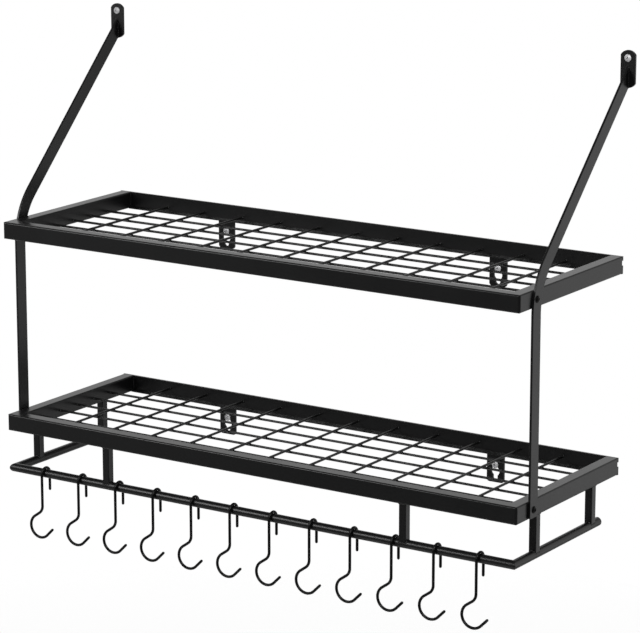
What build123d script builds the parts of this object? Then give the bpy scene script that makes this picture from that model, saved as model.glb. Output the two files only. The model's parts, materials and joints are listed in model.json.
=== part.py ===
from build123d import *
import math
import os

os.makedirs("parts", exist_ok=True)

# Wall mounted pot rack. Two wire decks in square tube frames hang on the wall by keyhole plates
# and by two straps that bend back to lugs above. A round rod frame on short posts under the
# lower deck carries twelve loose pan hooks.
# Millimetres. X runs along the wall, +Y points into the wall and +Z is up. The wall face is
# y = 0, and z = 0 is half way up the lower shelf's rails.

# Shelf frames
width = 762
depth = 254
shelf_spacing = 255
rail_height = 22
rail_width = 17
rail_wall = 1.5
rail_rounding = 2
frame_corner = 3

# Rear rail: a flat plate with a short lip along its foot and a notch in each end
rear_thickness = 3
rear_lip = 5
rear_lip_thickness = 1.8
notch_height = 6
notch_depth = 4
notch_below_top = 8.5

# Wire has this many flat sides in place of a circle, and its bends are steps of this many degrees
wire_sides = 8
wire_bend_step = 32

# Wire decks. The long wires lie under the cross wires.
wire_diameter = 3.2
cross_wire_count = 11
long_wire_count = 5
long_wire_front_gap = 37
long_wire_rear_gap = 51
lower_deck_depth = 10
upper_deck_depth = 14.8

# Keyhole plates under the rear rails
plate_spacing = 414
plate_width = 25
plate_length = 37
plate_thickness = 3
plate_corner = 4
keyhole_diameter = 12
keyhole_drop = 22.5
slot_width = 6.8
slot_top_drop = 11.5
slot_bottom_drop = 34

# Straps and their lugs
strap_width = 18
strap_thickness = 3
strap_setback = 36.2
strap_foot_drop = 10
strap_foot_rounding = 2
strap_knee_rise = 16.2
strap_bend_radius = 85
strap_lean = 45
lug_width = 20
lug_length = 46
lug_thickness = 3
lug_corner = 7
lug_screw_below_top = 9.5
lug_hole = 5.6

# Rod frame and posts
rod_diameter = 11.2
rod_drop = 61.8
rod_end_from_wall = 40
post_size = 10
post_edge = 1.2
post_setback = 1.5
side_post_from_rod = 49.1
side_post_from_wall = 60
front_post_from_hook = 15.1

# Pan hooks, bent from round wire
hook_count = 12
hook_wire = 3.6
hook_end_margin = 47.85
hook_shift = 1.9
loop_clearance = 0.8
loop_hang_gap = 0.3
loop_leg_drop = 24.6
shank_drop = 42.4
neck_radius = 12.3
neck_turn = 55
throat_length = 9.2
bowl_radius = 15.3
bowl_turn = 190
tip_length = 14

# Round head bolts through the straps, with nuts inside the rails. Fasteners have this many flat
# sides in place of a circle, apart from the part of a wall screw that its plug grips.
fastener_sides = 12
bolt_diameter = 5
bolt_head_diameter = 9
bolt_head_height = 2.5
bolt_head_rim = 0.8
bolt_head_bevel = 1.8
bolt_length = 10
bolt_hole_clearance = 0.2
nut_across_flats = 8
nut_height = 4
thread_clearance = 0.05

# Pan head wall screws, with a plain neck under the head as far as the wall
screw_diameter = 4.8
screw_neck_diameter = 4.2
screw_neck_length = 3.4
screw_length = 38
screw_point = 6
screw_point_taper = 15
screw_head_diameter = 9
screw_head_height = 2.8
screw_head_rim = 1.2
screw_head_bevel = 1.6

# Room left at welds between round faces, and between a screw and the slot end that hangs on it
weld_gap = 0.05
seat_gap = 0.3

rail_half = rail_height / 2
inner_half_width = width / 2 - rail_width
front_inner_y = rail_width - depth
rail_y = -depth + rail_width / 2
rail_x = width / 2 - rail_width / 2
strap_y = strap_setback - depth
rod_x = width / 2 - post_setback - post_size / 2
rod_y = -(depth - post_setback - post_size / 2)
rod_z = -rod_drop
hook_pitch = 2 * (rod_x - hook_end_margin) / (hook_count - 1)
front_post_x = (hook_count / 2 - 2.5) * hook_pitch + front_post_from_hook
side_post_ys = {"front": rod_y + side_post_from_rod, "rear": -side_post_from_wall}
deck_depths = {"lower": lower_deck_depth, "upper": upper_deck_depth}
levels = {"lower": 0, "upper": shelf_spacing}


def export(builder, name):
    """Label a finished piece and write it."""
    builder.part.label = name
    export_step(builder.part, f"parts/{name}.step")


def export_pair(right, name):
    """Write a right hand piece and its mirror image on the left. SIDE in the name is filled in."""
    export(right, name.replace("SIDE", "right"))
    with BuildPart() as left:
        mirror(right.part, about=Plane.YZ)
    export(left, name.replace("SIDE", "left"))


def wire_section(diameter):
    """Section of a wire, its flats square to the sketch's axes, in the sketch that is open."""
    RegularPolygon(diameter / 2, wire_sides, major_radius=False, rotation=180 / wire_sides)


def rail_section():
    """Rectangle tube section with rounded outer corners, in the sketch that is open."""
    RectangleRounded(rail_width, rail_height, rail_rounding)
    Rectangle(rail_width - 2 * rail_wall, rail_height - 2 * rail_wall, mode=Mode.SUBTRACT)


def rail_plan(level, corners):
    """Outline of one rail with its mitred ends, seen from above, inside the rounded frame."""
    with BuildSketch(Plane.XY.offset(level - rail_height)) as plan:
        with Locations((0, -depth / 2)):
            Rectangle(width, depth)
        fillet(plan.vertices().group_by(Axis.Y)[0], frame_corner)
        with BuildLine():
            Polyline(*corners, close=True)
        make_face(mode=Mode.INTERSECT)
    return plan.sketch


def make_front_rail(shelf, level):
    """Front rail of square tube, mitred at both ends."""
    with BuildPart() as rail:
        with BuildSketch(Plane.YZ):
            with Locations((rail_y, level)):
                rail_section()
        extrude(amount=width / 2, both=True)
        corners = [
            (-width / 2, -depth),
            (width / 2, -depth),
            (inner_half_width, front_inner_y),
            (-inner_half_width, front_inner_y),
        ]
        extrude(rail_plan(level, corners), amount=2 * rail_height, mode=Mode.INTERSECT)
    export(rail, f"{shelf}_front_rail")


def make_side_rails(shelf, level):
    """Side rails of the same tube, mitred in front, butted to the rear rail, drilled for a bolt."""
    with BuildPart() as rail:
        with BuildSketch(Plane.XZ.offset(rear_thickness)):
            with Locations((rail_x, level)):
                rail_section()
        extrude(amount=depth - rear_thickness)
        corners = [
            (width / 2, -depth),
            (width / 2, -rear_thickness),
            (inner_half_width, -rear_thickness),
            (inner_half_width, front_inner_y),
        ]
        extrude(rail_plan(level, corners), amount=2 * rail_height, mode=Mode.INTERSECT)
        with BuildSketch(Plane.YZ.offset(rail_x)):
            with Locations((strap_y, level)):
                Circle(bolt_diameter / 2 + bolt_hole_clearance)
        extrude(amount=rail_width, mode=Mode.SUBTRACT)
    export_pair(rail, f"{shelf}_SIDE_rail")


def make_rear_rail(shelf, level):
    """Wall side rail: a plate, its lip between the side rails, and a notch in each end."""
    with BuildPart() as rail:
        with BuildSketch(Plane.YZ):
            with Locations((0, level)):
                Rectangle(rear_thickness, rail_height, align=(Align.MAX, Align.CENTER))
        extrude(amount=width / 2, both=True)
        with BuildSketch(Plane.YZ):
            with Locations((-rear_thickness, level - rail_half)):
                Rectangle(rear_lip, rear_lip_thickness, align=(Align.MAX, Align.MIN))
        extrude(amount=inner_half_width, both=True)
        with BuildSketch(Plane.XZ):
            with Locations((0, level + rail_half - notch_below_top)):
                with GridLocations(width, 1, 2, 1):
                    Rectangle(2 * notch_depth, notch_height)
        extrude(amount=rear_thickness, mode=Mode.SUBTRACT)
    export(rail, f"{shelf}_rear_rail")


def make_deck(shelf, level):
    """Cross wires from the rear rail to the front rail, and the long wires under them."""
    cross_z = level + rail_half - deck_depths[shelf]
    long_z = cross_z - wire_diameter - weld_gap
    bay = 2 * inner_half_width / (cross_wire_count + 1)
    long_span = -front_inner_y - rear_thickness - long_wire_front_gap - long_wire_rear_gap
    long_middle = front_inner_y + long_wire_front_gap + long_span / 2
    with BuildPart() as cross_wires:
        with BuildSketch(Plane.XZ.offset(rear_thickness)):
            with Locations((0, cross_z)):
                with GridLocations(bay, 1, cross_wire_count, 1):
                    wire_section(wire_diameter)
        extrude(amount=-front_inner_y - rear_thickness)
    export(cross_wires, f"{shelf}_cross_wires")
    with BuildPart() as long_wires:
        with BuildSketch(Plane.YZ):
            with Locations((long_middle, long_z)):
                with GridLocations(long_span / (long_wire_count - 1), 1, long_wire_count, 1):
                    wire_section(wire_diameter)
        extrude(amount=inner_half_width, both=True)
    export(long_wires, f"{shelf}_long_wires")


def make_keyhole_plates(shelf, level):
    """Hanger plates under the rear rail. A slot runs above and below the round screw hole."""
    top = level - rail_half
    with BuildPart() as plate:
        with BuildSketch(Plane.XZ) as outline:
            with Locations((plate_spacing / 2, top)):
                Rectangle(plate_width, plate_length, align=(Align.CENTER, Align.MAX))
            fillet(outline.vertices().group_by(Axis.Y)[0], plate_corner)
            with Locations((plate_spacing / 2, top - keyhole_drop)):
                Circle(keyhole_diameter / 2, mode=Mode.SUBTRACT)
            with Locations((plate_spacing / 2, top - (slot_top_drop + slot_bottom_drop) / 2)):
                SlotOverall(
                    slot_bottom_drop - slot_top_drop,
                    slot_width,
                    rotation=90,
                    mode=Mode.SUBTRACT,
                )
        extrude(amount=plate_thickness)
    export_pair(plate, f"{shelf}_SIDE_keyhole_plate")


# Straps: flat bar that stands against the side rails, then leans back to the wall
strap_knee_z = shelf_spacing + strap_knee_rise
lean = math.radians(strap_lean)
strap_end_z = strap_knee_z + (-strap_y - lug_thickness) / math.tan(lean)
strap_end_half = strap_width / 2 / math.sin(lean)
strap_run_z = strap_knee_z + (-strap_y + strap_width) / math.tan(lean)
strap_middle_x = width / 2 + strap_thickness / 2


def make_straps():
    with BuildPart() as strap:
        with BuildLine(Plane.YZ.offset(strap_middle_x)):
            FilletPolyline(
                (strap_y, -strap_foot_drop),
                (strap_y, strap_knee_z),
                (strap_width, strap_run_z),
                radius=strap_bend_radius,
            )
        with BuildSketch(Plane.XY.offset(-strap_foot_drop)):
            with Locations((strap_middle_x, strap_y)):
                Rectangle(strap_thickness, strap_width)
        sweep()
        fillet(strap.edges().filter_by(Axis.X).group_by(Axis.Z)[0], strap_foot_rounding)
        split(bisect_by=Plane.XZ.offset(lug_thickness), keep=Keep.TOP)
        with BuildSketch(Plane.YZ.offset(width / 2)):
            with Locations(*[(strap_y, level) for level in levels.values()]):
                Circle(bolt_diameter / 2 + bolt_hole_clearance)
        extrude(amount=strap_thickness, mode=Mode.SUBTRACT)
    export_pair(strap, "SIDE_strap")


# Lugs: flat on the wall, each welded across the upper end of its strap
lug_top = strap_end_z - strap_end_half + lug_length
lug_screw_z = lug_top - lug_screw_below_top


def make_lugs():
    with BuildPart() as lug:
        with BuildSketch(Plane.XZ):
            with Locations((strap_middle_x, lug_top - lug_length / 2)):
                RectangleRounded(lug_width, lug_length, lug_corner)
            with Locations((strap_middle_x, lug_screw_z)):
                Circle(lug_hole / 2, mode=Mode.SUBTRACT)
        extrude(amount=lug_thickness)
    export_pair(lug, "SIDE_lug")


def make_rods():
    """Front rod and two side rods, mitred at the front corners, with free ends at the wall."""
    right_mitre = Plane(origin=(rod_x, rod_y, rod_z), z_dir=(1, 1, 0))
    left_mitre = Plane(origin=(-rod_x, rod_y, rod_z), z_dir=(-1, 1, 0))
    with BuildPart() as front_rod:
        with BuildSketch(Plane.YZ):
            with Locations((rod_y, rod_z)):
                Circle(rod_diameter / 2)
        extrude(amount=rod_x + rod_diameter, both=True)
        split(bisect_by=right_mitre, keep=Keep.BOTTOM)
        split(bisect_by=left_mitre, keep=Keep.BOTTOM)
    export(front_rod, "front_rod")
    with BuildPart() as side_rod:
        with BuildSketch(Plane.XZ.offset(rod_end_from_wall)):
            with Locations((rod_x, rod_z)):
                Circle(rod_diameter / 2)
        extrude(amount=-rod_y - rod_end_from_wall + rod_diameter)
        split(bisect_by=right_mitre, keep=Keep.TOP)
    export_pair(side_rod, "SIDE_rod")


def make_post(x, y, rod_axis):
    """Square bar post from the rail's underside, its foot coped to sit astride the rod."""
    with BuildPart() as post:
        with BuildSketch(Plane.XY.offset(rod_z)) as section:
            with Locations((x, y)):
                Rectangle(post_size, post_size)
            chamfer(section.vertices(), post_edge)
        extrude(amount=-rail_half - rod_z)
        with BuildSketch(Plane((x, y, rod_z), z_dir=rod_axis)):
            Circle(rod_diameter / 2 + weld_gap)
        extrude(amount=post_size, both=True, mode=Mode.SUBTRACT)
    return post


def make_posts():
    export_pair(make_post(front_post_x, rod_y, (1, 0, 0)), "front_SIDE_post")
    for place, y in side_post_ys.items():
        export_pair(make_post(rod_x, y, (0, 1, 0)), f"SIDE_{place}_post")


# Hooks: a loop over the rod in one plane, and a bowl that opens to the right in the other
loop_radius = rod_diameter / 2 + loop_clearance + hook_wire / 2
loop_z = rod_z - (loop_clearance - loop_hang_gap)
shank_y = rod_y - loop_radius


def polar(distance, angle):
    """Offset of this length at this angle in degrees."""
    return Vector(distance * math.cos(math.radians(angle)), distance * math.sin(math.radians(angle)))


def bend(centre, radius, start_angle, turn):
    """Corners between the straight steps of a bend. Each step touches the bend's circle."""
    steps = math.ceil(abs(turn) / wire_bend_step)
    reach = radius / math.cos(math.radians(turn / steps / 2))
    return [centre + polar(reach, start_angle + turn * (k + 0.5) / steps) for k in range(steps)]


def make_hook(number):
    x = hook_shift + (number - (hook_count + 1) / 2) * hook_pitch
    loop = bend(Vector(rod_y, loop_z), loop_radius, 0, 180)
    neck_centre = Vector(x - neck_radius, rod_z - shank_drop)
    neck = bend(neck_centre, neck_radius, 0, -neck_turn)
    throat = polar(throat_length, -90 - neck_turn)
    bowl_centre = neck_centre + polar(neck_radius + bowl_radius, -neck_turn) + throat
    bowl_end = 180 - neck_turn + bowl_turn
    bowl = bend(bowl_centre, bowl_radius, 180 - neck_turn, bowl_turn)
    tip = bowl_centre + polar(bowl_radius, bowl_end) + polar(tip_length, bowl_end + 90)
    leg_end = (x, rod_y + loop_radius, rod_z - loop_leg_drop)
    with BuildPart() as hook:
        with BuildLine():
            Polyline(
                leg_end,
                *[(x, corner.X, corner.Y) for corner in loop],
                *[(corner.X, shank_y, corner.Y) for corner in neck + bowl + [tip]],
            )
        with BuildSketch(Plane(leg_end)):
            wire_section(hook_wire)
        sweep(transition=Transition.RIGHT)
    export(hook, f"hook_{number:02d}")


def fastener_section(diameter):
    """Section of a fastener, its corners on a circle of this diameter, in the open sketch."""
    RegularPolygon(diameter / 2, fastener_sides)


def make_head(diameter, height, rim, bevel):
    """Head of a fastener above Z = 0, with an upright rim and a bevelled crown."""
    with BuildPart() as head:
        with BuildSketch():
            fastener_section(diameter)
        extrude(amount=height)
        chamfer(head.faces().sort_by(Axis.Z)[-1].edges(), height - rim, bevel)
    return head.part


def export_copies(piece, seats, name):
    """Write one node that holds a copy of a fastener on each of its seats."""
    with BuildPart() as copies:
        with Locations(*seats):
            add(piece)
    export(copies, name)


def make_strap_bolts():
    """Bolts through the straps and the rails' outer walls, and the nuts inside the rails."""
    with BuildPart() as bolt:
        with BuildSketch():
            fastener_section(bolt_diameter)
        extrude(amount=-bolt_length)
        add(make_head(bolt_head_diameter, bolt_head_height, bolt_head_rim, bolt_head_bevel))
    with BuildPart() as nut:
        with BuildSketch():
            RegularPolygon(nut_across_flats / 2, 6, major_radius=False)
            RegularPolygon(bolt_diameter / 2 + thread_clearance, fastener_sides, mode=Mode.SUBTRACT)
        extrude(amount=-nut_height)
    places = [(side, level) for side in (-1, 1) for level in levels.values()]
    bolt_seat_x = width / 2 + strap_thickness
    nut_seat_x = width / 2 - rail_wall
    bolt_seats = [Plane((side * bolt_seat_x, strap_y, z), (0, 1, 0), (side, 0, 0)) for side, z in places]
    nut_seats = [Plane((side * nut_seat_x, strap_y, z), (0, 1, 0), (side, 0, 0)) for side, z in places]
    export_copies(bolt.part, bolt_seats, "strap_bolts")
    export_copies(nut.part, nut_seats, "strap_nuts")


def make_wall_screws():
    """Pan head screws through the lugs, and through the upper ends of the keyhole slots."""
    with BuildPart() as screw:
        with BuildSketch():
            fastener_section(screw_neck_diameter)
        extrude(amount=-screw_neck_length)
        with BuildSketch(Plane.XY.offset(screw_point - screw_length)):
            Circle(screw_diameter / 2)
        extrude(amount=screw_length - screw_point - screw_neck_length)
        with BuildSketch(Plane.XY.offset(screw_point - screw_length)):
            fastener_section(screw_diameter)
        extrude(amount=-screw_point, taper=screw_point_taper)
        add(make_head(screw_head_diameter, screw_head_height, screw_head_rim, screw_head_bevel))
    slot_seat_drop = rail_half + slot_top_drop + seat_gap + screw_neck_diameter / 2
    lug_points = [(side * strap_middle_x, -lug_thickness, lug_screw_z) for side in (-1, 1)]
    keyhole_points = [
        (side * plate_spacing / 2, -plate_thickness, level - slot_seat_drop)
        for side in (-1, 1)
        for level in levels.values()
    ]
    export_copies(screw.part, [Plane(point, z_dir=(0, -1, 0)) for point in lug_points], "lug_screws")
    export_copies(
        screw.part, [Plane(point, z_dir=(0, -1, 0)) for point in keyhole_points], "keyhole_screws"
    )


for shelf, level in levels.items():
    make_front_rail(shelf, level)
    make_side_rails(shelf, level)
    make_rear_rail(shelf, level)
    make_deck(shelf, level)
    make_keyhole_plates(shelf, level)
make_straps()
make_lugs()
make_rods()
make_posts()
for number in range(1, hook_count + 1):
    make_hook(number)
make_strap_bolts()
make_wall_screws()
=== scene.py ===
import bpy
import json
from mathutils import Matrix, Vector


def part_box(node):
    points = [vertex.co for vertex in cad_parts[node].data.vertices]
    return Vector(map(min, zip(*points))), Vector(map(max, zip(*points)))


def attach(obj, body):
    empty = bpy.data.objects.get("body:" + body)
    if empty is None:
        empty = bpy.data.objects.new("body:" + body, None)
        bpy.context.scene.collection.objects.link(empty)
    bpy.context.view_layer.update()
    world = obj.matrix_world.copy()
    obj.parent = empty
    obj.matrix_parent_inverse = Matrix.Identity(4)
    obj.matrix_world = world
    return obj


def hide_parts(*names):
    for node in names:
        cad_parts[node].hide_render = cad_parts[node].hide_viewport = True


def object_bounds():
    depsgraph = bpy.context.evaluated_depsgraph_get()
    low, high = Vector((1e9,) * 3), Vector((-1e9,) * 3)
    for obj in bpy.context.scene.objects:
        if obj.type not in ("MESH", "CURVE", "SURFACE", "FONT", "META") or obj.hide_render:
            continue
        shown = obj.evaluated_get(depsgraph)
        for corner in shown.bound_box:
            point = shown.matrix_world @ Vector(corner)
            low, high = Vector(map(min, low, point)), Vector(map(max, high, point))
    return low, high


bl_info = {
    "name": "Wall Mounted Pot Rack",
    "version": (1, 0, 0),
    "blender": (4, 5, 0),
    "location": "View3D > Sidebar > Pot Rack",
    "description": "Dresses the frame of a wall mounted pot rack with its wires, hooks, welds and finishes",
    "category": "Add Mesh",
}

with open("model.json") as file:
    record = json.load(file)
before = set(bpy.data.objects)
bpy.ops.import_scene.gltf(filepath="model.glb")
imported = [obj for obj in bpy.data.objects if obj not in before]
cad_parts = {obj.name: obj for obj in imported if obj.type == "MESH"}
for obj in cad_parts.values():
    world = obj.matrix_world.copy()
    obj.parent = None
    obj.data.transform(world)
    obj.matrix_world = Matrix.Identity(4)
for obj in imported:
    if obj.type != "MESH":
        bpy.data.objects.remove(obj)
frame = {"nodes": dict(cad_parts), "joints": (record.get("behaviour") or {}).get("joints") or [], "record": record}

import json
import math

import bmesh
import bpy
from bpy.props import FloatProperty, FloatVectorProperty, IntProperty, PointerProperty
from mathutils import Vector

CAD_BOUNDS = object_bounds()
MM = 0.001
RIGHT_ANGLE = math.pi / 2
SHELVES = ("lower", "upper")
SIDES = ("left", "right")
POSTS = [f"front_{side}_post" for side in SIDES]
POSTS += [f"{side}_{end}_post" for side in SIDES for end in ("front", "rear")]
FIXED_BODY = "rack"
WALL_GAP = 0.2 * MM


def maker(kind, **settings):
    """A function that makes a property of one kind from its name, description and default."""

    def made(name, description, default):
        return kind(name=name, description=description, default=default, **settings)

    return made


length = maker(FloatProperty, unit="LENGTH", precision=5)
place = maker(FloatVectorProperty, unit="LENGTH", subtype="XYZ")
angle = maker(FloatProperty, subtype="ANGLE")
number = maker(FloatProperty, precision=3)
count = maker(IntProperty)
colour = maker(FloatVectorProperty, subtype="COLOR", min=0, max=1)


def turn(name, description, degrees):
    """An angle whose default is given in degrees."""
    return angle(name, description, math.radians(degrees))


class PotRackFinishes(bpy.types.PropertyGroup):
    """Colours and textures of the metal."""

    coat_colour: colour("Powder coat", "Colour of the rack's matte coat", (0.0036, 0.0036, 0.0038))
    coat_roughness: number("Coat roughness", "How matte the coat is", 0.3)
    coat_gloss: number("Coat gloss", "Strength of the coat's reflections", 0.5)
    coat_grain: length("Coat grain", "Width of the coat's orange peel", 0.8 * MM)
    hook_colour: colour("Hook coat", "Colour of the hooks' satin coat", (0.003, 0.003, 0.0031))
    hook_roughness: number("Hook roughness", "How matte the hooks are", 0.34)
    hook_gloss: number("Hook gloss", "Strength of the hooks' reflections", 0.22)
    bolt_colour: colour("Black bolt", "Colour of the bolts' black finish", (0.004, 0.004, 0.004))
    bolt_roughness: number("Bolt roughness", "How matte the bolts are", 0.27)
    bolt_gloss: number("Bolt gloss", "Strength of the bolts' reflections", 0.2)
    zinc_colour: colour("Zinc", "Colour of the wall screws' plating", (0.64, 0.64, 0.65))
    zinc_roughness: number("Zinc roughness", "How matte the plating is", 0.5)
    zinc_metal: number("Zinc metal", "Share of the plating that shines as metal", 0.25)


class PotRackStock(bpy.types.PropertyGroup):
    """Edges, wires and welds of the fixed frame."""

    edge_rounding: length("Edge rounding", "Radius on the edges of flat bar and plate", 0.3 * MM)
    post_rounding: length("Post rounding", "Radius on the posts' upright edges", 0.7 * MM)
    lug_crown: length("Lug crown", "Height of the arc at each end of a lug", 5.6 * MM)
    lug_hole: length("Lug hole", "Radius of the hole in a lug", 2.8 * MM)
    strap_width: length("Strap width", "Width of the flat bar of the straps", 18 * MM)
    strap_lean: turn("Strap lean", "How far the straps lean back above the upper shelf", 45)
    cross_wires: count("Cross wires", "Wires from front to rear", 11)
    long_wires: count("Long wires", "Wires from left to right", 5)
    wire_facets: count("Wire facets", "Faces round a wire", 16)
    weld_radius: length("Weld bead", "Radius of the beads round posts and plates", 0.7 * MM)
    weld_ripple: length("Weld ripple", "Length of one ripple along a bead", 1.6 * MM)
    nugget_radius: length("Wire weld", "Radius of the welds where wires cross", 1.9 * MM)


class PotRackHook(bpy.types.PropertyGroup):
    """A pan hook bent from round wire."""

    wire_diameter: length("Wire", "Diameter of the hook's wire", 3.6 * MM)
    loop_radius: length("Loop radius", "Radius of the wire's middle over the rod", 8.2 * MM)
    loop_sag: length("Loop sag", "How far the loop's centre lies under the rod's", 0.72 * MM)
    leg_drop: length("Leg", "Depth of the short leg's end below the rod's axis", 24.6 * MM)
    shank_drop: length("Shank", "Depth of the shank's end below the rod's axis", 42.4 * MM)
    neck_radius: length("Neck radius", "Radius of the bend below the shank", 12.3 * MM)
    neck_turn: turn("Neck turn", "How far the neck bends to the left", 55)
    throat: length("Throat", "Straight length between neck and bowl", 9.2 * MM)
    bowl_radius: length("Bowl radius", "Radius of the hook's bowl", 15.3 * MM)
    bowl_turn: turn("Bowl turn", "How far the bowl bends round", 190)
    tip: length("Tip", "Straight length after the bowl", 14 * MM)
    end_rounding: length("End rounding", "How far the wire's ends taper", 2.0 * MM)
    steps: count("Steps", "Straight steps along the wire", 190)


class PotRackFasteners(bpy.types.PropertyGroup):
    """Wall screws and strap bolts."""

    neck_radius: length("Screw neck", "Radius of the plain neck under the head", 2.1 * MM)
    neck_length: length("Neck length", "Length of the plain neck", 3.4 * MM)
    runout_length: length("Runout", "Length of the taper between neck and thread", 0.6 * MM)
    core_radius: length("Screw core", "Radius between the threads", 1.75 * MM)
    thread_radius: length("Thread", "Outer radius of the threads", 2.4 * MM)
    thread_pitch: length("Thread pitch", "Distance from thread to thread", 2.2 * MM)
    screw_length: length("Screw length", "Length under the head", 38 * MM)
    point_length: length("Point", "Length of the screw's point", 6 * MM)
    screw_head: length("Screw head", "Radius of the screw's head", 4.5 * MM)
    screw_crown: length("Screw crown", "Height of the screw's head", 2.8 * MM)
    screw_rim: length("Screw rim", "Height of the upright rim of the screw's head", 0.9 * MM)
    bolt_head: length("Bolt head", "Radius of the bolt's head", 4.5 * MM)
    bolt_crown: length("Bolt crown", "Height of the bolt's head", 2.5 * MM)
    bolt_rim: length("Bolt rim", "Height of the upright rim of the bolt's head", 0.4 * MM)
    bolt_radius: length("Bolt", "Radius of the bolt's shank", 2.5 * MM)
    bolt_length: length("Bolt length", "Length under the head", 10 * MM)
    recess_arm: length("Recess", "Half width of the cross recess", 1.9 * MM)
    recess_slot: length("Recess slot", "Half width of each of its slots", 0.65 * MM)
    recess_depth: length("Recess depth", "Depth of the cross recess", 2.9 * MM)
    spin_seed: count("Spin seed", "Seed of the heads' random turn", 4)


class PotRackStudio(bpy.types.PropertyGroup):
    """Camera, floor and light."""

    azimuth: turn("Azimuth", "Camera's turn to the right of the front", 33.316)
    elevation: turn("Elevation", "Camera's height above the horizon", 13.419)
    distance: length("Distance", "From the camera to its target", 3.901)
    target: place("Target", "Point that the camera looks at", (0, -0.09292, 0.15916))
    lens: number("Lens", "Focal length in millimetres on a 36 mm sensor", 173.2)
    wall_reach: length("Wall reach", "From the rack's sides to the white wall's", 2.0)
    wall_rise: length("Wall rise", "From the rack's top to the white wall's", 0.5)
    floor_drop: length("Floor drop", "From the rack's lowest point to the floor", 1.25)
    floor_radius: length("Floor radius", "Radius of the floor's disc", 4.0)
    floor_colour: colour("Floor", "Colour of the floor", (0.93, 0.93, 0.93))
    floor_glow: number("Floor glow", "What brings the floor to white for the camera", 0.7)
    key_azimuth: turn("Key azimuth", "Turn of the key light from the front", -36)
    key_elevation: turn("Key elevation", "Height of the key light above the horizon", 19)
    key_size: length("Key size", "Width of the key light", 0.95)
    key_power: number("Key power", "Power of the key light", 17)
    fill_azimuth: turn("Fill azimuth", "Turn of the fill light from the front", 40)
    fill_elevation: turn("Fill elevation", "Height of the fill light above the horizon", 38)
    fill_size: length("Fill size", "Width of the fill light", 1.3)
    fill_power: number("Fill power", "Power of the fill light", 42)
    lamp_distance: length("Lamp distance", "From the rack to the key and fill lights", 2.6)
    panel_place: place("Panel place", "Middle of the dim panel at the right rear", (1.25, 0.85, 0.08))
    panel_size: length("Panel size", "Width of the dim panel", 1.5)
    panel_power: number("Panel power", "Power of the dim panel", 4.1)
    card_place: place("Card place", "Middle of the dim card low at the left front", (-1.15, -1.05, -0.1))
    card_size: length("Card size", "Width of the dim card", 0.9)
    card_power: number("Card power", "Power of the dim card", 0.3)
    back_light: number("Back", "Brightness of the surroundings behind the rack", 0.82)
    right_light: number("Right", "Share of the back's brightness at the right", 0.2)
    front_light: number("Front", "Brightness of the surroundings in front", 0.115)


def method(operation):
    """A method that adds a Math node with this value first."""
    return lambda self, *others: self.math(operation, self, *others)


def arithmetic(operation):
    """Two methods that add a Math node, one with this value first and one with it last."""
    return method(operation), lambda self, other: self.math(operation, other, self)


class Field:
    """A socket whose value varies over a surface or a shape. Arithmetic on it adds Math nodes."""

    __add__, __radd__ = arithmetic("ADD")
    __sub__, __rsub__ = arithmetic("SUBTRACT")
    __mul__, __rmul__ = arithmetic("MULTIPLY")
    __truediv__, __rtruediv__ = arithmetic("DIVIDE")
    sine, cosine, root, sign = map(method, ("SINE", "COSINE", "SQRT", "SIGN"))
    smaller, larger = map(method, ("MINIMUM", "MAXIMUM"))

    def __init__(self, bench, socket):
        self.bench = bench
        self.socket = socket

    def math(self, operation, *terms):
        return self.bench.node("ShaderNodeMath", dict(enumerate(terms)), operation=operation)

    def __neg__(self):
        return self * -1

    def within(self, low, high):
        """This value, held between two limits."""
        return self.larger(low).smaller(high)


class Bench:
    """Adds nodes to one tree. A dict gives the values or links of a node's sockets."""

    def __init__(self, tree):
        self.tree = tree

    def node(self, kind, inputs=(), output=0, **settings):
        """The new node's output, or nothing for a node that ends a tree."""
        made = self.tree.nodes.new(kind)
        for name, setting in settings.items():
            setattr(made, name, setting)
        for name, given in dict(inputs).items():
            for term in given if isinstance(given, list) else [given]:
                if isinstance(term, Field):
                    self.tree.links.new(term.socket, made.inputs[name])
                else:
                    made.inputs[name].default_value = term
        return Field(self, made.outputs[output]) if made.outputs else None

    def vector(self, x, y, z):
        return self.node("ShaderNodeCombineXYZ", {"X": x, "Y": y, "Z": z})

    def parts(self, vector):
        """The three numbers of a vector."""
        return [self.node("ShaderNodeSeparateXYZ", {0: vector}, axis) for axis in "XYZ"]

    def noise(self, where, scale, detail=2.0):
        inputs = {"Vector": where, "Scale": scale, "Detail": detail}
        return self.node("ShaderNodeTexNoise", inputs)


class Finish(Bench):
    """A procedural material."""

    def __init__(self, name):
        self.material = bpy.data.materials.new(name)
        self.material.use_nodes = True
        super().__init__(self.material.node_tree)
        self.tree.nodes.clear()
        self.place = self.node("ShaderNodeTexCoord", output="Object")

    def blend(self, low, high, share):
        """A colour between two others. Sockets 6, 7 and 2 are the mix's colours."""
        inputs = {"Factor": share, 6: (*low, 1), 7: (*high, 1)}
        return self.node("ShaderNodeMix", inputs, 2, data_type="RGBA")

    def bump(self, height, strength, distance):
        inputs = {"Height": height, "Strength": strength, "Distance": distance}
        return self.node("ShaderNodeBump", inputs)

    def surface(self, sockets):
        """The finished material, from the Principled shader's sockets."""
        return self.show(self.node("ShaderNodeBsdfPrincipled", sockets))

    def show(self, shader):
        """The finished material, with this shader as its surface."""
        self.node("ShaderNodeOutputMaterial", {"Surface": shader})
        return self.material

    def mixed(self, share, first, second):
        """The finished material, which turns from one shader to another as the share rises."""
        return self.show(self.node("ShaderNodeMixShader", {0: share, 1: first, 2: second}))


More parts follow.
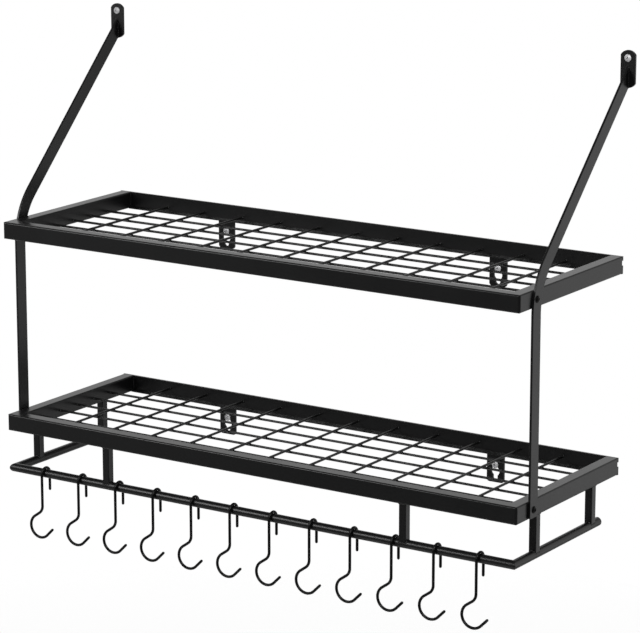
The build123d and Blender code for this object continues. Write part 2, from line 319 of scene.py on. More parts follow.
class Shape(Bench):
    """A Geometry Nodes tree with named inputs that makes what repeats or follows a path."""

    def __init__(self, name):
        super().__init__(bpy.data.node_groups.new(name, "GeometryNodeTree"))
        for side in ("INPUT", "OUTPUT"):
            self.tree.interface.new_socket("Geometry", in_out=side, socket_type="NodeSocketGeometry")
        self.given = self.tree.nodes.new("NodeGroupInput")
        self.base = Field(self, self.given.outputs["Geometry"])

    def sizes(self, *names, kind="Float"):
        """Named inputs of the tree."""
        for name in names:
            self.tree.interface.new_socket(name, in_out="INPUT", socket_type=f"NodeSocket{kind}")
        return [Field(self, self.given.outputs[name]) for name in names]

    def row(self, points, start, offset):
        """Points in a row."""
        inputs = {"Count": points, "Start Location": start, "Offset": offset}
        return self.node("GeometryNodeMeshLine", inputs)

    def moved(self, geometry, translation):
        inputs = {"Geometry": geometry, "Translation": translation}
        return self.node("GeometryNodeTransform", inputs)

    def on_points(self, points, instance, rotation=(0, 0, 0), scale=(1, 1, 1)):
        inputs = {"Points": points, "Instance": instance, "Rotation": rotation, "Scale": scale}
        return self.node("GeometryNodeInstanceOnPoints", inputs)

    def random(self, low, high, seed):
        """A number between two limits, another on each point. Its sockets are 2, 3, 8 and 1."""
        inputs = {2: low, 3: high, 8: seed}
        return self.node("FunctionNodeRandomValue", inputs, 1, data_type="FLOAT")

    def along(self, curve, facets, radius, scale=1.0):
        """Round skin along a curve, closed at its ends."""
        sizes = {"Resolution": facets, "Radius": radius}
        circle = self.node("GeometryNodeCurvePrimitiveCircle", sizes)
        inputs = {"Curve": curve, "Profile Curve": circle, "Scale": scale, "Fill Caps": True}
        return self.node("GeometryNodeCurveToMesh", inputs)

    def joined(self, *geometries):
        return self.node("GeometryNodeJoinGeometry", {"Geometry": list(geometries)})

    def realized(self, geometry):
        return self.node("GeometryNodeRealizeInstances", {"Geometry": geometry})

    def finish(self, geometry, material):
        """End the tree with plain geometry in its material."""
        inputs = {"Geometry": self.realized(geometry), "Material": material}
        coated = self.node("GeometryNodeSetMaterial", inputs)
        self.node("NodeGroupOutput", {"Geometry": coated})
        return self


def linked(name, data):
    """A new object at the origin with this mesh, camera or light."""
    made = bpy.data.objects.new(name, data)
    bpy.context.scene.collection.objects.link(made)
    return made


def evaluated(source, name):
    """A plain copy of an object's mesh with its modifiers worked in."""
    bpy.context.view_layer.update()
    graph = bpy.context.evaluated_depsgraph_get()
    mesh = bpy.data.meshes.new_from_object(source.evaluated_get(graph), depsgraph=graph)
    mesh.name = name
    return mesh


def applied(piece):
    """The same object with its modifiers worked into its mesh and removed."""
    mesh = evaluated(piece, piece.name)
    piece.modifiers.clear()
    piece.data = mesh
    return piece


def values_of(group):
    """The values of a group's properties, by name."""
    return {key: getattr(group, key) for key in group.__annotations__}


def grown(shape, name, sizes, points=(), edges=()):
    """The plain mesh that a tree makes, on an object at the origin. Sizes fill its inputs by name."""
    base = bpy.data.meshes.new(f"{name}_base")
    base.from_pydata([tuple(point) for point in points], list(edges), [])
    seed = linked(f"{name}_seed", base)
    modifier = seed.modifiers.new("shape", "NODES")
    modifier.node_group = shape.tree
    for item in shape.tree.interface.items_tree:
        if item.name != "Geometry":
            modifier[item.identifier] = sizes[item.name]
    mesh = evaluated(seed, name)
    bpy.data.objects.remove(seed)
    if not mesh.polygons:
        raise RuntimeError(f"{name} has no faces")
    return linked(name, mesh)


def shaped(name, form, material=None):
    """An object at the origin from a closed bmesh, with its faces outwards. The bmesh is freed."""
    bmesh.ops.recalc_face_normals(form, faces=form.faces)
    mesh = bpy.data.meshes.new(name)
    form.to_mesh(mesh)
    form.free()
    if material:
        mesh.materials.append(material)
    return linked(name, mesh)


def smoothed(piece, degrees=32):
    """Shade a piece smooth, apart from the edges that turn by more than this."""
    piece.data.shade_smooth()
    piece.data.set_sharp_from_angle(angle=math.radians(degrees))
    return piece


def seated(piece, body, nodes=()):
    """Attach a finished piece to the body it rides on, and hide the CAD nodes that it stands for."""
    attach(piece, body)
    if nodes:
        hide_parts(*nodes)


def rounded(piece, width, segments=3, sharp=30):
    """Work rounded edges into a piece where it turns sharply. Its flat faces stay shaded flat."""
    piece.data.shade_smooth()
    edge = piece.modifiers.new("rounding", "BEVEL")
    edge.width = width
    edge.segments = segments
    edge.limit_method = "ANGLE"
    edge.angle_limit = math.radians(sharp)
    edge.use_clamp_overlap = False
    flats = piece.modifiers.new("flats", "WEIGHTED_NORMAL")
    flats.mode = "FACE_AREA"
    flats.weight = 100
    return applied(piece)


def softened(node, rounding, material):
    """Copy of a CAD node with merged faces and rounded edges, in the node's own place."""
    merge_gap = 0.002 * MM
    flat = math.radians(1)
    form = bmesh.new()
    form.from_mesh(frame["nodes"][node].data)
    bmesh.ops.remove_doubles(form, verts=form.verts, dist=merge_gap)
    bmesh.ops.dissolve_limit(form, angle_limit=flat, verts=form.verts, edges=form.edges)
    return rounded(shaped(f"{node}_bar", form, material), rounding)


def arc(centre, radius, start, end, steps):
    """Points round part of a circle, both ends included."""
    turns = [start + (end - start) * k / steps for k in range(steps + 1)]
    return [(centre[0] + radius * math.cos(a), centre[1] + radius * math.sin(a)) for a in turns]


def circle(centre, radius, steps):
    """Points all the way round a circle."""
    return arc(centre, radius, 0, 2 * math.pi, steps)[:-1]


def middle_of(node):
    """The centre of a node's box."""
    low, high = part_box(node)
    return (low + high) / 2


def lug_plate(node, crown, hole, hole_z, rounding, material):
    """Plate with an arc at its top and bottom and a screw hole, where the lug's node is."""
    end_steps = 24
    hole_steps = 32
    low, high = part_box(node)
    half, middle = (high.x - low.x) / 2, (high.x + low.x) / 2
    radius = (half * half + crown * crown) / (2 * crown)
    reach = math.asin(half / radius)
    outline = []
    for z, up in ((high.z - radius, RIGHT_ANGLE), (low.z + radius, 3 * RIGHT_ANGLE)):
        outline += arc((middle, z), radius, up - reach, up + reach, end_steps)
    form = bmesh.new()
    edges = []
    for ring in (outline, circle((middle, hole_z), hole, hole_steps)):
        verts = [form.verts.new((x, low.y, z)) for x, z in ring]
        edges += [form.edges.new(pair) for pair in zip(verts, verts[1:] + verts[:1])]
    faces = bmesh.ops.triangle_fill(form, edges=edges, use_beauty=True, use_dissolve=True)
    front = [item for item in faces["geom"] if isinstance(item, bmesh.types.BMFace)]
    back = bmesh.ops.extrude_face_region(form, geom=front)["geom"]
    moved = [item for item in back if isinstance(item, bmesh.types.BMVert)]
    bmesh.ops.translate(form, verts=moved, vec=(0, high.y - low.y, 0))
    return rounded(shaped(f"{node}_plate", form, material), rounding)


def bridged(form, first, second):
    """Faces between two rings of points, or between a ring and the one point that closes it."""
    for k in range(max(len(first), len(second))):
        corners = [first[k % len(first)], first[(k + 1) % len(first)]]
        corners += [second[(k + 1) % len(second)], second[k % len(second)]]
        form.faces.new(list(dict.fromkeys(corners)))


def rod_top(post, u, v):
    """Height at which a post meets the round rod under it, at u and v from the post's axis."""
    low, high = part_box("front_rod")
    radius = (high.z - low.z) / 2
    across = v if post.startswith("front") else u
    return low.z + radius + math.sqrt(radius**2 - across**2)


def square_post(node, rounding, material):
    """Square bar with rounded upright edges, from the rail down to a foot coped to the round rod."""
    corner_steps = 4
    flat_steps = 5
    low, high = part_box(node)
    middle = middle_of(node)
    inner = (high.x - low.x) / 2 - rounding
    outline = []
    corners = ((1, 1), (-1, 1), (-1, -1), (1, -1))
    headings = ((-1, 0), (0, -1), (1, 0), (0, 1))
    for quarter, ((u, v), (run_u, run_v)) in enumerate(zip(corners, headings)):
        start = quarter * RIGHT_ANGLE
        centre = (u * inner, v * inner)
        outline += arc(centre, rounding, start, start + RIGHT_ANGLE, corner_steps)
        last_u, last_v = outline[-1]
        for k in range(1, flat_steps):
            walked = 2 * inner * k / flat_steps
            outline.append((last_u + run_u * walked, last_v + run_v * walked))
    form = bmesh.new()
    upper, lower = [], []
    for u, v in outline:
        x, y = middle.x + u, middle.y + v
        upper.append(form.verts.new((x, y, high.z)))
        lower.append(form.verts.new((x, y, rod_top(node, u, v))))
    heart = form.verts.new((middle.x, middle.y, rod_top(node, 0, 0)))
    form.faces.new(upper)
    bridged(form, upper, lower)
    bridged(form, lower, [heart])
    return smoothed(shaped(f"{node}_bar", form, material), degrees=40)


def powder_coat(name, look, kind):
    """Matte powder coat: fine orange peel, and slow changes of tone over a piece."""
    tint = getattr(look, f"{kind}_colour")
    cloud_scale = 14.0
    cloud_tone = 0.22
    cloud_matting = 0.08
    peel_matting = 0.06
    peel_strength = 0.05
    peel_depth = 0.05 * look.coat_grain
    finish = Finish(name)
    peel = finish.noise(finish.place, 1 / look.coat_grain, detail=3)
    cloud = finish.noise(finish.place, cloud_scale)
    dark = [c * (1 - cloud_tone) for c in tint]
    light = [c * (1 + cloud_tone) for c in tint]
    matting = cloud_matting * (cloud - 0.5) + peel_matting * (peel - 0.5)
    return finish.surface(
        {
            "Base Color": finish.blend(dark, light, cloud),
            "Roughness": getattr(look, f"{kind}_roughness") + matting,
            "Normal": finish.bump(peel, peel_strength, peel_depth),
            "Specular IOR Level": getattr(look, f"{kind}_gloss"),
        }
    )


def zinc_plate(name, look):
    """Bright zinc with faint stains and the fine scuffs of handling."""
    stain_scale = 420.0
    stain_dark, stain_light = 0.92, 1.06
    stain_matting = 0.1
    scuff_scale = 2600.0
    scuff_matting = 0.12
    scuff_strength = 0.03
    scuff_depth = 0.02 * MM
    finish = Finish(name)
    stain = finish.noise(finish.place, stain_scale, detail=3)
    scuff = finish.noise(finish.place, scuff_scale)
    tones = [[c * share for c in look.zinc_colour] for share in (stain_dark, stain_light)]
    matting = scuff_matting * (scuff - 0.5) + stain_matting * (stain - 0.5)
    return finish.surface(
        {
            "Base Color": finish.blend(*tones, stain),
            "Metallic": look.zinc_metal,
            "Roughness": look.zinc_roughness + matting,
            "Normal": finish.bump(scuff, scuff_strength, scuff_depth),
        }
    )


def finish_named(name):
    """A material made before by the finishes' operator."""
    found = bpy.data.materials.get(name)
    if found is None:
        raise RuntimeError(f"make the finishes before the pieces: {name} is missing")
    return found


class POTRACK_OT_finishes(bpy.types.Operator):
    """Make the rack's finishes and put them on the CAD nodes that stay"""

    bl_idname = "potrack.finishes"
    bl_label = "Finishes"

    def execute(self, context):
        look = context.scene.pot_rack_finishes
        made = {
            "black_powder_coat": powder_coat("powder_coat", look, "coat"),
            "black_hook_wire": powder_coat("hook_coat", look, "hook"),
            "black_bolt": powder_coat("black_oxide", look, "bolt"),
            "zinc_screw": zinc_plate("zinc_plate", look),
        }
        for subpart in frame["record"]["subparts"]:
            node = frame["nodes"][subpart["node"]]
            node.data.materials.clear()
            node.data.materials.append(made[subpart["material_slot"]])
        return {"FINISHED"}


class POTRACK_OT_flat_stock(bpy.types.Operator):
    """Round the edges of the straps, lugs, plates, rear rails and posts"""

    bl_idname = "potrack.flat_stock"
    bl_label = "Flat bar, plates and posts"

    def execute(self, context):
        stock = context.scene.pot_rack_stock
        coat = finish_named("powder_coat")
        edge = stock.edge_rounding
        flats = [f"{side}_strap" for side in SIDES]
        flats += [f"{shelf}_{side}_keyhole_plate" for shelf in SHELVES for side in SIDES]
        flats += [f"{shelf}_rear_rail" for shelf in SHELVES]
        pieces = {node: softened(node, edge, coat) for node in flats}
        screw_low, screw_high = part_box("lug_screws")
        screw_z = (screw_low.z + screw_high.z) / 2
        for node in [f"{side}_lug" for side in SIDES]:
            pieces[node] = lug_plate(node, stock.lug_crown, stock.lug_hole, screw_z, edge, coat)
        for node in POSTS:
            pieces[node] = square_post(node, stock.post_rounding, coat)
        for node, piece in pieces.items():
            seated(piece, FIXED_BODY, [node])
        return {"FINISHED"}


def deck_shape(material):
    """Cross wires on long wires, with a weld at each crossing and at each wire's end."""
    smallest, largest = 0.82, 1.12
    crossing_form = (1.0, 1.0, 0.62)
    rail_form = (1.15, 0.5, 1.0)
    side_form = (0.5, 1.15, 1.0)
    shape = Shape("wire_deck")
    facets, cross_count, long_count, seed = shape.sizes(
        "wire_facets", "cross_wires", "long_wires", "seed", kind="Int"
    )
    cross_low, cross_high = shape.sizes("cross_low", "cross_high", kind="Vector")
    long_low, long_high = shape.sizes("long_low", "long_high", kind="Vector")
    [nugget] = shape.sizes("nugget_radius")
    left, front, cross_foot = shape.parts(cross_low)
    right, rear, cross_top = shape.parts(cross_high)
    long_left, near, long_foot = shape.parts(long_low)
    long_right, far, _ = shape.parts(long_high)
    radius = (cross_top - cross_foot) / 2
    cross_z, long_z = cross_foot + radius, long_foot + radius
    first_x, first_y = left + radius, near + radius
    to_right = shape.vector((right - radius - first_x) / (cross_count - 1), 0, 0)
    to_rear = shape.vector(0, (far - radius - first_y) / (long_count - 1), 0)

    def wires(points, span, rotation):
        sizes = {"Vertices": facets, "Radius": radius, "Depth": span}
        wire = shape.node("GeometryNodeMeshCylinder", sizes)
        return shape.on_points(points, wire, rotation)

    start = shape.vector(first_x, (front + rear) / 2, cross_z)
    cross = wires(shape.row(cross_count, start, to_right), rear - front, (RIGHT_ANGLE, 0, 0))
    start = shape.vector((long_left + long_right) / 2, first_y, long_z)
    span = long_right - long_left
    long = wires(shape.row(long_count, start, to_rear), span, (0, RIGHT_ANGLE, 0))
    drop = shape.node("GeometryNodeMeshIcoSphere", {"Radius": nugget, "Subdivisions": 2})

    def nuggets(points, form, draw):
        spread = shape.random(smallest, largest, seed + draw)
        scale = shape.vector(*(spread * share for share in form))
        return shape.on_points(points, drop, scale=scale)

    weld_z = (cross_z + long_z) / 2
    columns = shape.row(cross_count, shape.vector(first_x, 0, weld_z), to_right)
    rows = shape.row(long_count, shape.vector(0, first_y, 0), to_rear)
    welds = [nuggets(shape.realized(shape.on_points(rows, columns)), crossing_form, 0)]
    for draw, end in ((1, front), (2, rear)):
        ends = shape.row(cross_count, shape.vector(first_x, end, cross_z), to_right)
        welds.append(nuggets(ends, rail_form, draw))
    for draw, end in ((3, long_left), (4, long_right)):
        ends = shape.row(long_count, shape.vector(end, first_y, long_z), to_rear)
        welds.append(nuggets(ends, side_form, draw))
    return shape.finish(shape.joined(cross, long, *welds), material)


class POTRACK_OT_wire_decks(bpy.types.Operator):
    """Lay the welded wire decks in both shelf frames"""

    bl_idname = "potrack.wire_decks"
    bl_label = "Wire decks"

    def execute(self, context):
        stock = context.scene.pot_rack_stock
        shape = deck_shape(finish_named("powder_coat"))
        seeds_per_deck = 10
        for deck, shelf in enumerate(SHELVES):
            nodes = [f"{shelf}_cross_wires", f"{shelf}_long_wires"]
            sizes = {**values_of(stock), "seed": seeds_per_deck * deck}
            sizes["cross_low"], sizes["cross_high"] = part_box(nodes[0])
            sizes["long_low"], sizes["long_high"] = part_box(nodes[1])
            piece = smoothed(grown(shape, f"{shelf}_wire_deck", sizes), degrees=50)
            seated(piece, FIXED_BODY, nodes)
        return {"FINISHED"}


def hook_shape(material):
    """Round wire bent over the rod, down a shank, and round in a bowl at right angles to it.

    Each step along the wire has a heading, and the wire is the running sum of its steps.
    """
    facets = 14
    end_width = 0.55
    shape = Shape("bent_hook")
    [pivot] = shape.sizes("pivot", kind="Vector")
    [steps] = shape.sizes("steps", kind="Int")
    diameter, rounding, loop_radius, sag, leg_drop, shank_drop = shape.sizes(
        "wire_diameter", "end_rounding", "loop_radius", "loop_sag", "leg_drop", "shank_drop"
    )
    neck_radius, neck_turn, throat, bowl_radius, bowl_turn, tip = shape.sizes(
        "neck_radius", "neck_turn", "throat", "bowl_radius", "bowl_turn", "tip"
    )
    leg = leg_drop - sag
    neck_start = leg + math.pi * loop_radius + shank_drop - sag
    bowl_start = neck_start + neck_radius * neck_turn + throat
    whole = bowl_start + bowl_radius * bowl_turn + tip
    step = whole / steps
    index = shape.node("GeometryNodeInputIndex")
    reached = (index + 0.5) * step
    over_rod = ((reached - leg) / loop_radius).within(0, math.pi)
    neck = ((reached - neck_start) / neck_radius).within(0, neck_turn)
    bowl = ((reached - bowl_start) / bowl_radius).within(0, bowl_turn)
    lean = neck - bowl
    heading = shape.vector(
        -lean.sine() * step, -over_rod.sine() * step, over_rod.cosine() * lean.cosine() * step
    )
    walked = shape.node(
        "GeometryNodeAccumulateField", {"Value": heading}, "Trailing", data_type="FLOAT_VECTOR"
    )
    points = shape.row(steps + 1, shape.vector(0, loop_radius, -leg_drop), (0, 0, 0))
    inputs = {"Geometry": shape.moved(points, pivot), "Offset": walked}
    placed = shape.node("GeometryNodeSetPosition", inputs)
    curve = shape.node("GeometryNodeMeshToCurve", {"Mesh": placed})
    from_end = (index * step).smaller(whole - index * step)
    inward = 1 - (from_end / rounding).within(0, 1)
    taper = end_width + (1 - end_width) * (1 - inward * inward).root()
    return shape.finish(shape.along(curve, facets, diameter / 2, taper), material)


class POTRACK_OT_hooks(bpy.types.Operator):
    """Bend the pan hooks, each on its own swinging body"""

    bl_idname = "potrack.hooks"
    bl_label = "Pan hooks"

    def execute(self, context):
        form = context.scene.pot_rack_hook
        shape = hook_shape(finish_named("hook_coat"))
        for joint in frame["joints"]:
            body = joint["child"]
            sizes = {**values_of(form), "pivot": joint["pos_m"]}
            piece = smoothed(grown(shape, f"{body}_wire", sizes), degrees=50)
            seated(piece, body, [body])
        return {"FINISHED"}


def turned(name, profile, facets=36):
    """Closed round mesh about Z from (radius, height) points that start and end on the axis."""
    form = bmesh.new()
    rings = []
    for radius, height in profile:
        spots = circle((0, 0), radius, facets) if radius > 0 else [(0, 0)]
        rings.append([form.verts.new((x, y, height)) for x, y in spots])
    for lower, upper in zip(rings, rings[1:]):
        bridged(form, lower, upper)
    return shaped(name, form)


def dome(radius, height, steps):
    """(radius, height) points of a dome from its rim to its top."""
    ball = (radius * radius + height * height) / (2 * height)
    reach = math.asin(radius / ball)
    angles = [reach * (1 - k / steps) for k in range(steps + 1)]
    return [(ball * math.sin(a), ball * math.cos(a) - ball + height) for a in angles]


def cross_cutter(arm, slot, top, depth):
    """Cross that cuts a screwdriver's recess: upright at first, then tapered."""
    upright = 0.2
    narrowing = 0.45
    corner = [(slot, arm), (slot, slot), (arm, slot)]
    outline = []
    for quarter in range(4):
        cosine, sine = math.cos(quarter * RIGHT_ANGLE), math.sin(quarter * RIGHT_ANGLE)
        outline += [(x * cosine + y * sine, y * cosine - x * sine) for x, y in corner]
    form = bmesh.new()
    levels = ((top + depth, 1), (top - upright * depth, 1), (top - depth, narrowing))
    rings = [[form.verts.new((x * share, y * share, z)) for x, y in outline] for z, share in levels]
    form.faces.new(rings[0])
    form.faces.new(rings[-1][::-1])
    for upper, lower in zip(rings, rings[1:]):
        bridged(form, upper, lower)
    return shaped("recess_cutter", form)


def headed(name, stem, head, crown, rim, form, steps):
    """Fastener turned from its stem's profile and a domed head, with a cross recess in the head."""
    cap = [(radius, rim + height) for radius, height in dome(head, crown - rim, steps)[1:]]
    blank = turned(name, stem + cap)
    cutter = cross_cutter(form.recess_arm, form.recess_slot, crown, form.recess_depth)
    cut = blank.modifiers.new("recess", "BOOLEAN")
    cut.operation = "DIFFERENCE"
    cut.solver = "EXACT"
    cut.object = cutter
    applied(blank)
    bpy.data.objects.remove(cutter)
    return blank


def threads(shape):
    """The straight thread round a screw's core, and the narrowing one round its point."""
    facets = 3
    steps_per_turn = 20
    ridge_share, tip_share = 0.62, 0.3
    bare_point = 0.8 * MM
    core, outer, pitch = shape.sizes("core_radius", "thread_radius", "thread_pitch")
    whole, neck, runout, point = shape.sizes(
        "screw_length", "neck_length", "runout_length", "point_length"
    )
    ridge = (outer - core) * ridge_share
    radius = outer - ridge
    bottom = point - whole
    tip = point - bare_point

    def thread(low, start_radius, height):
        sizes = {
            "Resolution": steps_per_turn,
            "Rotations": height / pitch,
            "Start Radius": start_radius,
            "End Radius": radius,
            "Height": height,
        }
        spiral = shape.node("GeometryNodeCurveSpiral", sizes)
        return shape.moved(shape.along(spiral, facets, ridge), shape.vector(0, 0, low))

    straight = thread(bottom, radius, -bottom - neck - runout)
    return straight, thread(bottom - tip, core * tip_share, tip)


def fastener_shape(name, material, threaded):
    """A fastener on each seat, turned at random about its own axis."""
    shape = Shape(name)
    [blank] = shape.sizes("blank", kind="Object")
    [seed] = shape.sizes("spin_seed", kind="Int")
    [sideways] = shape.sizes("sideways")
    body = shape.node("GeometryNodeObjectInfo", {"Object": blank}, "Geometry")
    if threaded:
        body = shape.joined(body, *threads(shape))
    side = shape.parts(shape.node("GeometryNodeInputPosition"))[0].sign()
    spin = shape.random(0.0, math.pi, seed)
    rotation = shape.vector(RIGHT_ANGLE, spin, side * sideways)
    return shape.finish(shape.on_points(shape.base, body, rotation), material)


class POTRACK_OT_wall_screws(bpy.types.Operator):
    """Drive the zinc screws through the lugs and the keyhole plates"""

    bl_idname = "potrack.wall_screws"
    bl_label = "Wall screws"

    def execute(self, context):
        form = context.scene.pot_rack_fasteners
        head, crown, core = form.screw_head, form.screw_crown, form.core_radius
        edge_width, edge_height = 0.15 * MM, 0.2 * MM
        nose_radius, nose_height = 0.25 * core, 0.6 * MM
        stem = [
            (0, -form.screw_length),
            (nose_radius, nose_height - form.screw_length),
            (core, form.point_length - form.screw_length),
            (core, -form.neck_length - form.runout_length),
            (form.neck_radius, -form.neck_length),
            (form.neck_radius, 0),
            (head - edge_width, 0),
            (head, edge_height),
            (head, form.screw_rim),
        ]
        blank = headed("wall_screw_blank", stem, head, crown, form.screw_rim, form, steps=8)
        shape = fastener_shape("threaded_screws", finish_named("zinc_plate"), True)
        sizes = {**values_of(form), "blank": blank, "sideways": 0.0}
        for node in ("lug_screws", "keyhole_screws"):
            low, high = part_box(node)
            heights = [low.z + head, high.z - head]
            if node == "lug_screws":
                heights = [middle_of(node).z]
            seats = [(x, low.y + crown, z) for z in heights for x in (low.x + head, high.x - head)]
            piece = smoothed(grown(shape, f"{node}_threaded", sizes, seats))
            seated(piece, FIXED_BODY, [node])
        bpy.data.objects.remove(blank)
        return {"FINISHED"}


class POTRACK_OT_strap_bolts(bpy.types.Operator):
    """Put the black domed bolts through the straps"""

    bl_idname = "potrack.strap_bolts"
    bl_label = "Strap bolts"

    def execute(self, context):
        form = context.scene.pot_rack_fasteners
        head, crown = form.bolt_head, form.bolt_crown
        bevel = 0.3 * MM
        stem = [
            (0, -form.bolt_length),
            (form.bolt_radius - bevel, -form.bolt_length),
            (form.bolt_radius, bevel - form.bolt_length),
            (form.bolt_radius, 0),
            (head, 0),
            (head, form.bolt_rim),
        ]
        blank = headed("strap_bolt_blank", stem, head, crown, form.bolt_rim, form, steps=9)
        shape = fastener_shape("domed_bolts", finish_named("black_oxide"), False)
        low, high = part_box("strap_bolts")
        seats = [
            (side * (high.x - crown), middle_of("strap_bolts").y, z)
            for side in (-1, 1)
            for z in (low.z + head, high.z - head)
        ]
        sizes = {"blank": blank, "sideways": RIGHT_ANGLE, "spin_seed": form.spin_seed + 1}
        piece = smoothed(grown(shape, "strap_bolts_domed", sizes, seats))
        seated(piece, FIXED_BODY, ["strap_bolts"])
        bpy.data.objects.remove(blank)
        return {"FINISHED"}


def bead_shape(material):
    """Weld bead along each line of the base, with ripples and small changes of width."""
    facets = 8
    steps_per_ripple = 4
    ripple_height = 0.12
    swell_scale = 160.0
    swell_height = 0.55
    shape = Shape("weld_beads")
    radius, ripple = shape.sizes("weld_radius", "weld_ripple")
    curve = shape.node("GeometryNodeMeshToCurve", {"Mesh": shape.base})
    inputs = {"Curve": curve, "Length": ripple / steps_per_ripple}
    spaced = shape.node("GeometryNodeResampleCurve", inputs, mode="LENGTH")
    reached = shape.node("GeometryNodeSplineParameter", output="Length")
    swell = shape.noise(shape.node("GeometryNodeInputPosition"), swell_scale) - 0.5
    waves = (reached * 2 * math.pi / ripple).sine()
    width = 1 + ripple_height * waves + swell_height * swell
    return shape.finish(shape.along(spaced, facets, radius, width), material)


def saddle(node, steps=6):
    """Ring of points where a square post meets the round rod that it stands on."""
    low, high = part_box(node)
    middle = middle_of(node)
    half = (high.x - low.x) / 2
    corners = [(-half, -half), (half, -half), (half, half), (-half, half)]
    points = []
    for (u0, v0), (u1, v1) in zip(corners, corners[1:] + corners[:1]):
        for k in range(steps):
            u, v = u0 + (u1 - u0) * k / steps, v0 + (v1 - v0) * k / steps
            points.append((middle.x + u, middle.y + v, rod_top(node, u, v)))
    return points


def bead_lines(stock):
    """The weld beads' rings, round both ends of the posts, and their open lines elsewhere."""
    plate_margin = MM
    foot_margin, top_margin = 3 * MM, 2 * MM
    rings, lines = [], []
    for node in POSTS:
        low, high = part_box(node)
        rings.append(saddle(node))
        corners = ((low.x, low.y), (high.x, low.y), (high.x, high.y), (low.x, high.y))
        rings.append([(x, y, high.z) for x, y in corners])
    for side in SIDES:
        low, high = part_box(f"{side}_strap")
        lug_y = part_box(f"{side}_lug")[0].y
        run = stock.strap_width / math.cos(stock.strap_lean)
        lines += [[(x, lug_y, high.z - run), (x, lug_y, high.z)] for x in (low.x, high.x)]
        for shelf in SHELVES:
            low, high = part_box(f"{shelf}_{side}_keyhole_plate")
            ends = (low.x + plate_margin, high.x - plate_margin)
            lines.append([(x, low.y, high.z) for x in ends])
            low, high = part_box(f"{shelf}_{side}_rail")
            inner = low.x if side == "right" else high.x
            lines.append([(inner, high.y, z) for z in (low.z + foot_margin, high.z - top_margin)])
    return rings, lines


class POTRACK_OT_weld_beads(bpy.types.Operator):
    """Run the weld beads round the posts, straps, plates and corners"""

    bl_idname = "potrack.weld_beads"
    bl_label = "Weld beads"

    def execute(self, context):
        stock = context.scene.pot_rack_stock
        rings, lines = bead_lines(stock)
        points, edges = [], []
        for bead in rings + lines:
            first, last = len(points), len(points) + len(bead) - 1
            points += bead
            edges += [(k, k + 1) for k in range(first, last)]
            if bead in rings:
                edges.append((last, first))
        shape = bead_shape(finish_named("powder_coat"))
        piece = smoothed(grown(shape, "weld_beads", values_of(stock), points, edges), degrees=60)
        seated(piece, FIXED_BODY)
        return {"FINISHED"}


def direction(azimuth, elevation):
    """From the rack towards a point at this azimuth to the right of the front, and elevation."""
    level = math.cos(elevation)
    return Vector((level * math.sin(azimuth), -level * math.cos(azimuth), math.sin(elevation)))


def aimed(name, data, spot, target):
    """A camera or light at a spot, turned to look at a target."""
    made = linked(name, data)
    made.location = spot
    made.rotation_mode = "QUATERNION"
    made.rotation_quaternion = (Vector(target) - Vector(spot)).to_track_quat("-Z", "Y")
    return made


def softbox(name, power, size, spot, target):
    """A large square light."""
    data = bpy.data.lights.new(name, "AREA")
    data.shape = "SQUARE"
    data.size = size
    data.energy = power
    aimed(name, data, spot, target).visible_camera = False


def studio_world(studio):
    """White where the camera looks. Elsewhere bright low behind the rack, and dim all round it."""
    far_left, far_right = 1.25, 0.65
    world = bpy.data.worlds.new("studio")
    world.use_nodes = True
    bench = Bench(world.node_tree)
    bench.tree.nodes.clear()
    right, back, up = bench.parts(bench.node("ShaderNodeTexCoord", output="Generated"))

    def ramp(value, start, end):
        share = ((value - start) / (end - start)).within(0, 1)
        return share * share * (3 - 2 * share)

    behind = ramp(back, start=-0.1, end=0.45)
    low_down = 1 - ramp(up, start=0.38, end=0.66)
    at_right = ramp(right, start=-0.25, end=0.4)
    backdrop = studio.back_light * (1 - (1 - studio.right_light) * at_right)
    across = ramp(right, start=-0.8, end=0.8)
    front = studio.front_light * (far_left - (far_left - far_right) * across)
    surroundings = front + (backdrop - front) * (behind * low_down)
    camera = bench.node("ShaderNodeLightPath", output="Is Camera Ray")
    strength = surroundings * (1 - camera) + camera
    sky = bench.node("ShaderNodeBackground", {"Color": (1, 1, 1, 1), "Strength": strength})
    bench.node("ShaderNodeOutputWorld", {"Surface": sky})
    return world


def wall_card_look():
    """White to a camera in front of the wall, and not there for anything else."""
    finish = Finish("wall_card")
    camera = finish.node("ShaderNodeLightPath", output="Is Camera Ray")
    behind = finish.node("ShaderNodeNewGeometry", output="Backfacing")
    white = finish.node("ShaderNodeEmission", {"Strength": 1.0})
    clear = finish.node("ShaderNodeBsdfTransparent")
    return finish.mixed(camera * (1 - behind), clear, white)


def floor_paper(studio, centre):
    """Pale floor that keeps shadows, reads as white to the camera and fades out at its edge."""
    fibre_scale = 60.0
    fibre_tone = 0.985
    fade_start, fade_width = 0.45, 0.5
    paper_roughness = 0.9
    finish = Finish("floor_paper")
    fibre = finish.noise(finish.place, fibre_scale)
    tone = finish.blend([c * fibre_tone for c in studio.floor_colour], studio.floor_colour, fibre)
    paper = finish.node("ShaderNodeBsdfPrincipled", {"Base Color": tone, "Roughness": paper_roughness})
    camera = finish.node("ShaderNodeLightPath", output="Is Camera Ray")
    glow = finish.node("ShaderNodeEmission", {"Strength": studio.floor_glow * camera})
    lit = finish.node("ShaderNodeAddShader", {0: paper, 1: glow})
    x, y, _ = finish.parts(finish.place)
    across, away = x - centre.x, y - centre.y
    reach = (across * across + away * away).root() / studio.floor_radius
    fade = ((reach - fade_start) / fade_width).within(0, 1)
    return finish.mixed(fade, lit, finish.node("ShaderNodeBsdfTransparent"))


def staged(name, corners, material):
    """A flat piece of the stage from its corners."""
    mesh = bpy.data.meshes.new(name)
    mesh.from_pydata(corners, [], [range(len(corners))])
    mesh.materials.append(material)
    linked(name, mesh)


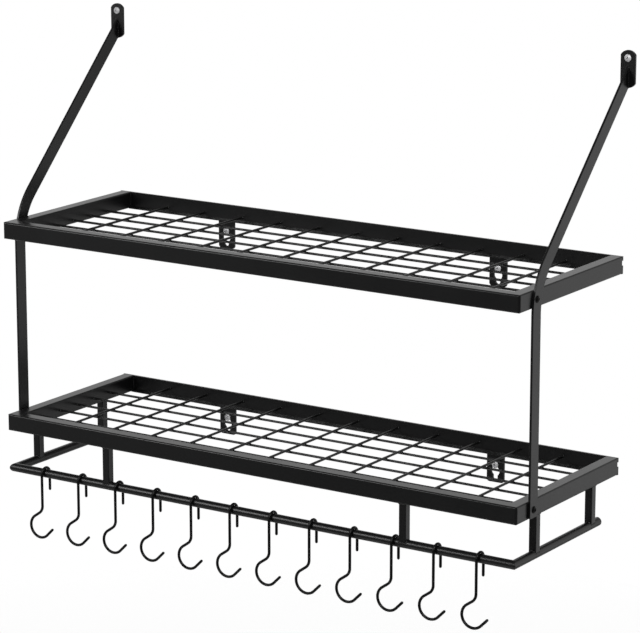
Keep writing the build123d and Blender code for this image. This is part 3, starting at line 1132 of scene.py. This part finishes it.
class POTRACK_OT_stage(bpy.types.Operator):
    """Set up the camera, the pale floor and the soft light"""

    bl_idname = "potrack.stage"
    bl_label = "Stage"

    def execute(self, context):
        scene, studio = context.scene, context.scene.pot_rack_studio
        low, high = CAD_BOUNDS
        centre = (low + high) / 2
        target = Vector(studio.target)

        camera = bpy.data.cameras.new("camera")
        camera.lens = studio.lens
        camera.sensor_width = 36
        spot = target + studio.distance * direction(studio.azimuth, studio.elevation)
        scene.camera = aimed("camera", camera, spot, target)

        floor_steps = 128
        floor_z = low.z - studio.floor_drop
        disc = circle((centre.x, centre.y), studio.floor_radius, floor_steps)
        staged("floor", [(x, y, floor_z) for x, y in disc], floor_paper(studio, centre))

        left, right = low.x - studio.wall_reach, high.x + studio.wall_reach
        top = high.z + studio.wall_rise
        corners = ((left, low.z), (right, low.z), (right, top), (left, top))
        staged("wall_card", [(x, WALL_GAP, z) for x, z in corners], wall_card_look())

        key = centre + studio.lamp_distance * direction(studio.key_azimuth, studio.key_elevation)
        fill = centre + studio.lamp_distance * direction(studio.fill_azimuth, studio.fill_elevation)
        softbox("key_light", studio.key_power, studio.key_size, key, centre)
        softbox("fill_light", studio.fill_power, studio.fill_size, fill, centre)
        softbox("side_panel", studio.panel_power, studio.panel_size, studio.panel_place, centre)
        softbox("front_card", studio.card_power, studio.card_size, studio.card_place, centre)
        scene.world = studio_world(studio)
        scene.view_settings.view_transform = "Standard"
        return {"FINISHED"}


class POTRACK_PT_panel(bpy.types.Panel):
    """Buttons for each group of the rack's pieces"""

    bl_idname = "POTRACK_PT_panel"
    bl_label = "Pot Rack"
    bl_space_type = "VIEW_3D"
    bl_region_type = "UI"
    bl_category = "Pot Rack"

    def draw(self, context):
        for operator in OPERATORS:
            self.layout.operator(operator.bl_idname)
        for name in SETTINGS:
            box = self.layout.box()
            settings = getattr(context.scene, name)
            for key in settings.__annotations__:
                box.prop(settings, key)


OPERATORS = (
    POTRACK_OT_finishes,
    POTRACK_OT_flat_stock,
    POTRACK_OT_wire_decks,
    POTRACK_OT_hooks,
    POTRACK_OT_wall_screws,
    POTRACK_OT_strap_bolts,
    POTRACK_OT_weld_beads,
    POTRACK_OT_stage,
)
SETTINGS = {
    "pot_rack_finishes": PotRackFinishes,
    "pot_rack_stock": PotRackStock,
    "pot_rack_hook": PotRackHook,
    "pot_rack_fasteners": PotRackFasteners,
    "pot_rack_studio": PotRackStudio,
}
CLASSES = (*SETTINGS.values(), *OPERATORS, POTRACK_PT_panel)


def register():
    for each in CLASSES:
        bpy.utils.register_class(each)
    for name, group in SETTINGS.items():
        setattr(bpy.types.Scene, name, PointerProperty(type=group))


def unregister():
    for name in SETTINGS:
        delattr(bpy.types.Scene, name)
    for each in reversed(CLASSES):
        bpy.utils.unregister_class(each)


def main():
    register()
    bpy.ops.potrack.finishes()
    bpy.ops.potrack.flat_stock()
    bpy.ops.potrack.wire_decks()
    bpy.ops.potrack.hooks()
    bpy.ops.potrack.wall_screws()
    bpy.ops.potrack.strap_bolts()
    bpy.ops.potrack.weld_beads()
    bpy.ops.potrack.stage()


if __name__ == "__main__":
    main()
